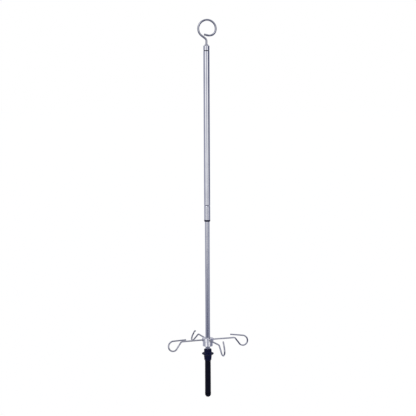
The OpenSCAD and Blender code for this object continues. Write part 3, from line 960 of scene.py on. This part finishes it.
# ---------------------------------------------------------------- carried-over CAD pieces
# The return spring sits on the spring seat and in use closes up by the pull's 5 mm as the foot comes down on it; this
# copy of its CAD coil keeps one shape.
spring = bpy.data.objects.new("return_spring_coil", NODES["return_spring"].data.copy())
scene.collection.objects.link(spring)
spring.data.materials.clear()
spring.data.materials.append(M["spring_steel"])
attach(spring, "slide", ["return_spring"])
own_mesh(spring)

CAD_MAT = {
    "shank_washer": "hidden_steel", "shank_nut": "hidden_steel", "top_plug": "hidden_steel", "plug_pins": "hidden_steel",
    "glide_ring": "white_nylon", "brake_cone": "hidden_steel", "cone_pins": "hidden_steel", "spring_seat": "hidden_steel",
    "seat_pin": "hidden_steel", "return_spring": "spring_steel", "brake_sleeve": "white_nylon", "sleeve_pin": "hidden_steel",
    "release_rod": "hidden_steel", "rod_foot": "hidden_steel", "collar_pin": "hidden_steel"}
for nme, ob in NODES.items():
    if ob.hide_render:
        continue
    mt = M[CAD_MAT[nme]]
    ob.data.materials.clear()
    ob.data.materials.append(mt)

# ---------------------------------------------------------------- stage
FLOOR_Z = -1.75
me = bpy.data.meshes.new("floor")
me.from_pydata([(-60, -60, FLOOR_Z), (60, -60, FLOOR_Z), (60, 60, FLOOR_Z), (-60, 60, FLOOR_Z)], [], [(0, 1, 2, 3)])
floor = bpy.data.objects.new("floor", me)
scene.collection.objects.link(floor)
fm, nt, b = mat_new("pale_floor")
b.inputs["Base Color"].default_value = (0.04, 0.04, 0.04, 1)
b.inputs["Roughness"].default_value = 1.0
b.inputs["Specular IOR Level"].default_value = 0.0
b.inputs["Emission Color"].default_value = (1, 1, 1, 1)
b.inputs["Emission Strength"].default_value = 0.975
me.materials.append(fm)
floor.visible_glossy = False
floor.visible_diffuse = False
floor.visible_transmission = False
floor.visible_shadow = False

# Light tent: a large dome that lights the object and shows in its polish. Broad soft boxes left and right of the
# camera, a dark flag at the right, a shaded front low down, white behind and overhead.
TENT_R = 60.0
bm = bmesh.new()
bmesh.ops.create_icosphere(bm, subdivisions=5, radius=TENT_R)
for v in bm.verts:
    v.co.z -= 0.55
me = bpy.data.meshes.new("light_tent")
bm.to_mesh(me)
bm.free()
tent = bpy.data.objects.new("light_tent", me)
scene.collection.objects.link(tent)
tm = bpy.data.materials.new("light_tent")
tm.use_nodes = True
nt = tm.node_tree
nt.nodes.clear()
geo = nd(nt, "ShaderNodeNewGeometry")
sep = nd(nt, "ShaderNodeSeparateXYZ")
nt.links.new(geo.outputs["Position"], sep.inputs[0])
az = math_n(nt, "ARCTAN2", sep.outputs[0], math_n(nt, "MULTIPLY", sep.outputs[1], -1.0))
fac = math_n(nt, "ADD", math_n(nt, "DIVIDE", az, 2 * PI), 0.5)
zz = math_n(nt, "ADD", sep.outputs[2], 0.55)
el = math_n(nt, "MULTIPLY", math_n(nt, "ARCSINE", math_n(nt, "DIVIDE", zz, TENT_R * 1.0001)), 180 / PI)


def tint(e):
    """Grey of a given strength: the darker, the bluer."""
    q = 1.02 + 0.9 * max(0.0, 1 - e) ** 2.2
    return (e, e * (1 + 0.12 * (q - 1)), e * q, 1)


def ramp(stops):
    r = nd(nt, "ShaderNodeValToRGB")
    r.color_ramp.interpolation = "EASE"
    el_ = r.color_ramp.elements
    while len(el_) > 1:
        el_.remove(el_[-1])
    first = True
    for a, e in stops:
        p = a / 360 + 0.5
        if first:
            el_[0].position = p
            el_[0].color = tint(e)
            first = False
        else:
            q = el_.new(p)
            q.color = e if isinstance(e, tuple) else tint(e)
    nt.links.new(fac, r.inputs[0])
    return r.outputs[0]


NAVY = (0.03, 0.038, 0.11, 1)
high = ramp([(-180, .54), (-140, .42), (-100, .38), (-72, .46), (-56, .62), (-46, 1.25), (-20, 1.22), (-9, .38), (5, .34), (12, .50), (20, 1.16), (47, 1.05), (59, .40),
             (68, NAVY), (97, NAVY), (110, .36), (140, .44), (180, .54)])
mid = ramp([(-180, .66), (-120, .46), (-88, .48), (-57, .62), (-30, .80), (-6, .55), (15, .74), (40, .56), (70, .36), (100, .36), (130, .42), (180, .62)])
low = ramp([(-180, .70), (-120, .55), (-100, .48), (-70, .35), (-40, .24), (-12, .16), (8, .17), (34, .33), (70, .36), (105, .35), (140, .44), (180, .66)])
sky = ramp([(-180, .95), (-90, .55), (-45, .50), (0, .38), (45, .50), (90, .50), (180, .95)])
under = ramp([(-180, .66), (-110, .38), (-60, .14), (0, .05), (60, .14), (110, .32), (180, .66)])
nadir = ramp([(-180, 1.5), (0, 1.5), (180, 1.5)])
c = mix_col(nt, remap(nt, el, -10.3, -7.5, 0, 1), low, mid)
c = mix_col(nt, remap(nt, el, -6.6, -4.5, 0, 1), c, high)
c = mix_col(nt, remap(nt, el, 14.0, 32.0, 0, 1, True), c, sky)
c = mix_col(nt, remap(nt, el, -11.3, -13.0, 0, 1, True), c, under)
c = mix_col(nt, remap(nt, el, -66.0, -74.0, 0, 1, True), c, nadir)
em = nd(nt, "ShaderNodeEmission")
nt.links.new(c, em.inputs["Color"])
em.inputs["Strength"].default_value = 1.0
outp = nd(nt, "ShaderNodeOutputMaterial")
nt.links.new(em.outputs[0], outp.inputs["Surface"])
me.materials.append(tm)
try:
    tm.cycles.emission_sampling = "NONE"
except Exception:
    pass
tent.visible_camera = False
tent.visible_shadow = False

world = bpy.data.worlds.new("white")
scene.world = world
world.use_nodes = True
bg = world.node_tree.nodes["Background"]
bg.inputs[0].default_value = (1, 1, 1, 1)
bg.inputs[1].default_value = 1.0

# A soft key above and left of the camera gives the plastics their form
ld = bpy.data.lights.new("key_soft", "AREA")
ld.shape = "RECTANGLE"
ld.size, ld.size_y = 1.4, 1.0
ld.energy = 7
ld.color = (0.95, 0.97, 1.0)
key = bpy.data.objects.new("key_soft", ld)
scene.collection.objects.link(key)
key.location = (-1.5, -2.2, 1.2)
key.rotation_euler = (Vector((0, 0, -0.8)) - Vector(key.location)).to_track_quat("-Z", "Y").to_euler()

scene.view_settings.view_transform = "Standard"
scene.view_settings.look = "None"

# ---------------------------------------------------------------- camera
CAM = (-0.0651, -3.712, -0.1609)
YAW, PITCH, ROLL, LENS = math.radians(1.0424), math.radians(5.7979), math.radians(0.2623), 111.259
fw = Vector((math.sin(YAW) * math.cos(PITCH), math.cos(YAW) * math.cos(PITCH), -math.sin(PITCH)))
r0 = Vector((math.cos(YAW), -math.sin(YAW), 0))
u0 = r0.cross(fw)
rx = r0 * math.cos(ROLL) - u0 * math.sin(ROLL)
uy = u0 * math.cos(ROLL) + r0 * math.sin(ROLL)
cam_d = bpy.data.cameras.new("camera")
cam = bpy.data.objects.new("camera", cam_d)
scene.collection.objects.link(cam)
cam_d.sensor_width = 36
cam_d.lens = LENS
cam_d.clip_start, cam_d.clip_end = 0.05, 500
mw = Matrix(((rx.x, uy.x, -fw.x, CAM[0]), (rx.y, uy.y, -fw.y, CAM[1]), (rx.z, uy.z, -fw.z, CAM[2]), (0, 0, 0, 1)))
cam.matrix_world = mw
scene.camera = cam
